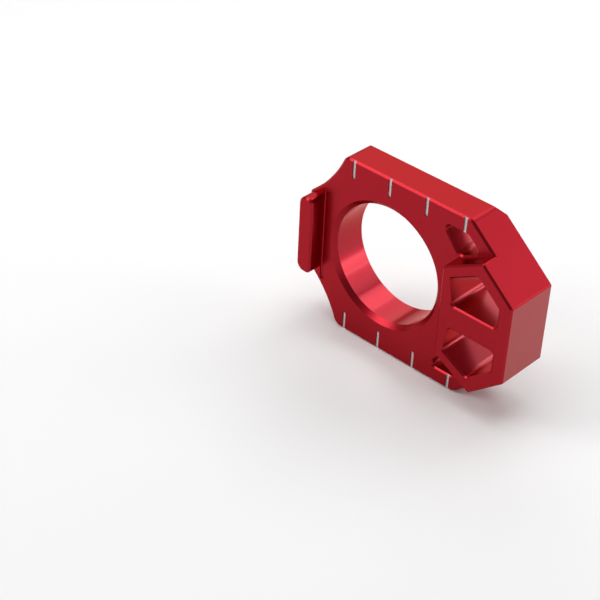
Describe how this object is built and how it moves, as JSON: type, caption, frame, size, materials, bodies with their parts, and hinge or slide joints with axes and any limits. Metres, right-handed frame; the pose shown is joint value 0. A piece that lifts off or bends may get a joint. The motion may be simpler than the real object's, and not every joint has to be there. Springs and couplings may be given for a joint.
{
  "type": "motorcycle chain adjuster",
  "caption": "Rear axle block that slides in a swingarm slot, with an axle bore, index marks, lightening pockets, and a raised pad and lip that hold the axle head.",
  "frame": {"origin": "on the axle bore's axis, halfway through the plate that slides in the swingarm slot", "axes": "+X along the block towards its six-sided end, -Y out of the marked face along the axle, +Z across the block; it stands on the lower of its two long sliding sides"},
  "size_m": [0.052, 0.0121, 0.039],
  "materials": {
    "red_anodised": "satin red anodised, bead blasted"
  },
  "bodies": {
    "root": {"axle_block": "red_anodised"}
  },
  "joints": []
}
